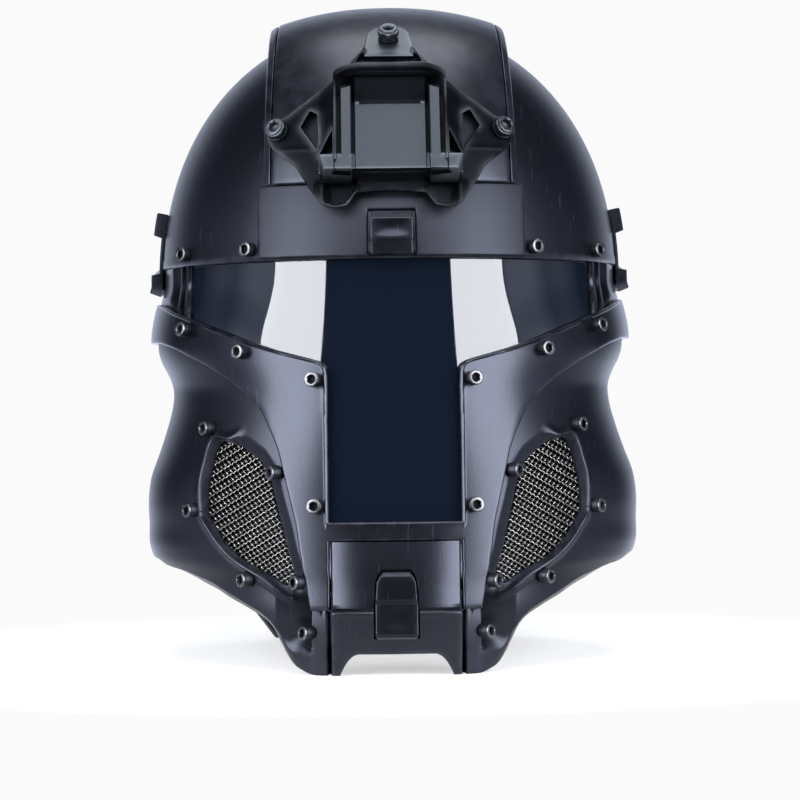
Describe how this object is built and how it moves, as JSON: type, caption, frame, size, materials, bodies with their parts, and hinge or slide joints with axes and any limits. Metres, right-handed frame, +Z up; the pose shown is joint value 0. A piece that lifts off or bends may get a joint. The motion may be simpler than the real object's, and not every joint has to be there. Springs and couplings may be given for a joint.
{
  "type": "full-face tactical helmet",
  "caption": "Full-face hard-shell helmet with a T-shaped smoked visor, cheek guards with wire-mesh vents, side rails, a raised crown band and a night-vision mount on the brow.",
  "frame": {"origin": "centre of the helmet's box in plan, at the level of the surface it stands on", "axes": "+Z up, the face looks along -Y, +X to the wearer's left, X = 0 is the plane of symmetry"},
  "size_m": [0.2658, 0.3096, 0.3576],
  "materials": {
    "shell_black": "satin",
    "plate_black": "satin",
    "lens_smoke": "polished",
    "shroud_black": "satin",
    "wire_steel": "satin",
    "screw_steel": "polished"
  },
  "bodies": {
    "shell": {"crown_shell": "shell_black", "cheek_guard_R": "shell_black", "cheek_guard_L": "shell_black", "crown_band": "shell_black", "edge_strip_R": "shell_black", "edge_strip_L": "shell_black", "face_plate": "plate_black", "temple_R": "plate_black", "temple_L": "plate_black", "chin_panel": "plate_black", "brow_plate": "plate_black", "side_rail_R": "plate_black", "side_rail_L": "plate_black", "visor_lens": "lens_smoke", "vent_mesh_R": "wire_steel", "vent_mesh_L": "wire_steel", "shroud_mount": "shroud_black", "shroud_bolt_top": "shroud_black", "shroud_bolt_R": "shroud_black", "shroud_bolt_L": "shroud_black", "rim_screw_1_R": "screw_steel", "rim_screw_1_L": "screw_steel", "rim_screw_2_R": "screw_steel", "rim_screw_2_L": "screw_steel", "plate_screw_1_R": "screw_steel", "plate_screw_1_L": "screw_steel", "plate_screw_2_R": "screw_steel", "plate_screw_2_L": "screw_steel", "plate_screw_3_R": "screw_steel", "plate_screw_3_L": "screw_steel", "plate_screw_4_R": "screw_steel", "plate_screw_4_L": "screw_steel", "guard_screw_1_R": "screw_steel", "guard_screw_1_L": "screw_steel", "guard_screw_2_R": "screw_steel", "guard_screw_2_L": "screw_steel", "guard_screw_3_R": "screw_steel", "guard_screw_3_L": "screw_steel", "guard_screw_4_R": "screw_steel", "guard_screw_4_L": "screw_steel", "guard_screw_5_R": "screw_steel", "guard_screw_5_L": "screw_steel", "guard_screw_6_R": "screw_steel", "guard_screw_6_L": "screw_steel"},
    "chin_lever": {"chin_latch": "plate_black"},
    "brow_lever": {"brow_latch": "plate_black"}
  },
  "joints": [
    {"name": "chin_latch_pivot", "type": "hinge", "parent": "shell", "child": "chin_lever", "pos_m": [0, -0.1441, 0.0505], "axis": [-1, 0, 0], "range_deg": [0, 60]},
    {"name": "brow_latch_pivot", "type": "hinge", "parent": "shell", "child": "brow_lever", "pos_m": [0, -0.1344, 0.2345], "axis": [-1, 0, 0], "range_deg": [0, 50]}
  ]
}
